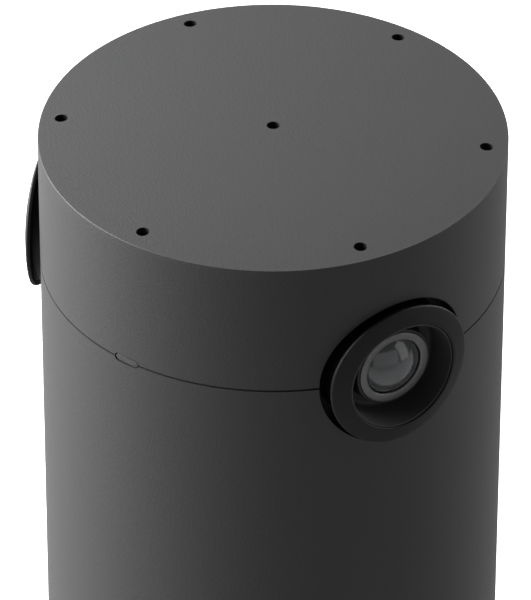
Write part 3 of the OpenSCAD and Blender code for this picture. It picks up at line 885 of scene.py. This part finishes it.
def shrouds(finishes):
    """Recess walls: a seat behind each bezel, and a thin lip that rises inside its opening."""
    floor, floor_t, fillet = 37.0, 1.2, 0.8
    seat_top, lip_top, lip = BEZEL_FRONT - BEZEL_T - 0.1, BEZEL_FRONT - 0.3, OPENING_R - 0.1
    seat_r = OPENING_R + 0.7
    profile = (
        [(BARREL_R + 0.3, floor), (seat_r, floor), (seat_r, seat_top), (lip, seat_top),
         (lip, lip_top), (lip - 0.2, lip_top)]
        + corner(OPENING_R - 0.7 - fillet, floor + floor_t + fillet, fillet, 0, -90, 6)
        + [(BARREL_R + 0.5, floor + floor_t), (BARREL_R + 0.3, floor + floor_t - 0.2)]
    )
    wall_ring = turned("recess_wall", profile, 160)
    bend_sides_back(wall_ring)
    smooth_shade(wall_ring, 40)
    both_cameras(wall_ring, "shroud", finishes["shroud_plastic"])


def barrels(finishes):
    front, back, seat = 41.7, 27.0, 38.1
    profile = (
        [(5.0, back), (BARREL_R, back), (BARREL_R, 36.0)]
        + corner(BARREL_R - 0.25, front - 0.25, 0.25, 0, 90, 4)
        + [(BARREL_R - 0.5, front), (BARREL_R - 0.5, front - 0.7), (GLASS_R + 0.05, front - 0.7),
           (GLASS_R + 0.05, seat), (4.0, seat), (4.0, 33.0), (5.0, 33.0)]
    )
    barrel = turned("barrel", profile, 128)
    both_cameras(barrel, "lens_barrel", finishes["barrel_metal"])


def trim_rings(finishes):
    outer, inner, low, high = BARREL_R - 0.55, GLASS_R + 0.15, 41.0, 41.9
    profile = (
        [(inner, low), (outer, low)]
        + corner(outer - 0.15, high - 0.15, 0.15, 0, 90, 3)
        + [(inner + 0.5, high)]
        + corner(inner + 0.3, high - 0.32, 0.3, 90, 180, 4)
    )
    ring = turned("trim_ring", profile, 128)
    both_cameras(ring, "retaining_ring", finishes["ring_metal"])


def front_glasses(finishes):
    apex, dome = 43.8, 2.4
    ball = (GLASS_R ** 2 + dome ** 2) / (2 * dome)
    hollow, hollow_s, seat = 4.4, 36.5, 38.2
    outside = [
        (r, apex - ball + math.sqrt(ball ** 2 - r ** 2)) for r in steps_between(0, GLASS_R, 20)
    ]
    mouth = math.sqrt(hollow ** 2 - (seat - hollow_s) ** 2)
    inside = [(r, hollow_s + math.sqrt(hollow ** 2 - r ** 2)) for r in steps_between(mouth, 0, 14)]
    piece = turned("dome_glass", outside + [(GLASS_R, seat)] + inside, 128, closed=False, smooth=30)
    both_cameras(piece, "front_element", finishes["lens_glass"])


# ---------- foot and buttons ----------

def foot(finishes):
    inner, outer, top = 29.0, 40.5, 4.0
    groove_rings, groove_w, groove_depth, draft = (38.0, 35.4, 32.8), 1.1, 0.5, 0.25
    grooves = []
    for r in groove_rings:
        grooves += [
            (r, 0), (r - draft, groove_depth), (r - groove_w + draft, groove_depth), (r - groove_w, 0)
        ]
    profile = (
        [(inner, top), (inner, 0.5), (inner + 0.5, 0)]
        + grooves[::-1]
        + corner(outer - 0.9, 0.9, 0.9, -90, 0, 6)
        + [(outer, top)]
    )
    ring = turned("foot_pad", profile, 200)
    finish_piece(ring, finishes["foot_rubber"], "foot_ring")


def buttons(finishes):
    back, step, front = 24.6, 25.8, 28.6
    flange_r, cap_r, edge, dish = 3.0, 2.4, 0.35, 0.25
    profile = (
        [(0, back), (flange_r, back), (flange_r, step), (cap_r, step)]
        + corner(cap_r - edge, front - edge, edge, 0, 90, 5)
        + [(r, front - dish * share) for r, share in ((1.6, 0.35), (1.1, 0.75), (0.5, 0.97), (0, 1))]
    )
    cap = turned("cap", profile, 64, closed=False)
    cap.data.transform(Matrix.Rotation(math.radians(-90), 4, "X"))
    for name, x in (("reset_button", RESET_X), ("pair_button", PAIR_X)):
        copy = bpy.data.objects.new(f"{name}_cap", cap.data.copy())
        bpy.context.scene.collection.objects.link(copy)
        copy.data.transform(Matrix.Translation((x * MM, 0, BUTTON_Z * MM)))
        finish_piece(copy, finishes["button_plastic"], name, name)
    bpy.data.objects.remove(cap)


def dress_part(frame, finishes):
    """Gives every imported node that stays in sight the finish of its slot."""
    slots = {row["node"]: row["material_slot"] for row in frame["record"]["subparts"]}
    for name, node in frame["nodes"].items():
        slot = "inner_glass" if name.endswith("inner_element") else slots[name]
        node.data.materials.clear()
        node.data.materials.append(finishes[slot])


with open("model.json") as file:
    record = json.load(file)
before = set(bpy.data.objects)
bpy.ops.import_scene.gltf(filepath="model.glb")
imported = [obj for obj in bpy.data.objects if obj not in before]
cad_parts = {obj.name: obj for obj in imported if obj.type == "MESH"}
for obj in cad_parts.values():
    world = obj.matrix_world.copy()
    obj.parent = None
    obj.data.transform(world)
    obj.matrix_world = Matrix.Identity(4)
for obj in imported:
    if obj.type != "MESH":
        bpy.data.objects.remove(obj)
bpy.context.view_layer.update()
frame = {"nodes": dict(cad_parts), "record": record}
make_camera()
make_studio()
make_floor()
finishes = make_finishes()
dress_part(frame, finishes)
upper_shell(finishes)
lower_shell(finishes)
bay_liner(finishes)
network_socket(finishes)
light_window(finishes)
bezels(finishes)
shrouds(finishes)
barrels(finishes)
trim_rings(finishes)
front_glasses(finishes)
foot(finishes)
buttons(finishes)
